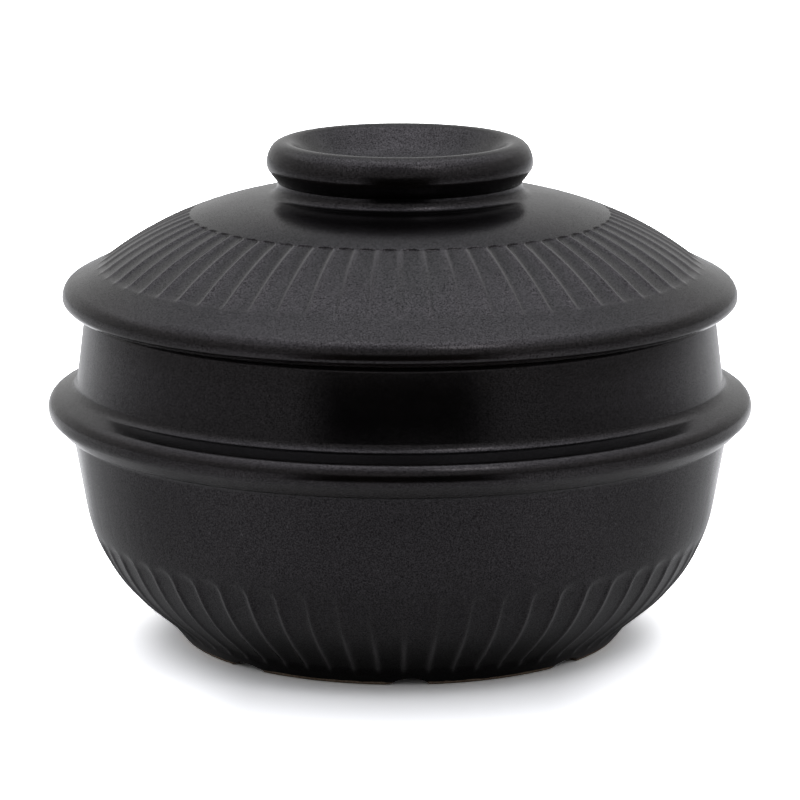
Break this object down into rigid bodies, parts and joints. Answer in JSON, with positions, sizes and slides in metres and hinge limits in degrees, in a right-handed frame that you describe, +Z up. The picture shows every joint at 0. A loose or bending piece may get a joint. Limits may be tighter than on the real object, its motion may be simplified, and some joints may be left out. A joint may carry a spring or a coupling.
{
  "type": "lidded stoneware bowl",
  "caption": "Round stoneware bowl with a broad carrying flange, a notched foot ring and a loose domed lid with a ring knob; fluted on the lid and lower body.",
  "frame": {"origin": "on the pot's axis, in the plane that the foot ring stands on", "axes": "+Z up along the pot's axis, from the foot ring towards the lid's knob; -Y is the viewer's side"},
  "size_m": [0.18, 0.18, 0.1272],
  "materials": {
    "bowl_glaze": "satin black stoneware glaze with a fine speckle; bare tan clay on the foot ring",
    "lid_glaze": "satin black stoneware glaze with a fine speckle"
  },
  "bodies": {
    "bowl": {"bowl": "bowl_glaze"},
    "lid": {"lid": "lid_glaze"}
  },
  "joints": [
    {"name": "lid_lift", "type": "slide", "parent": "bowl", "child": "lid", "axis": [0, 0, 1], "range_m": [0, 0.12]}
  ]
}
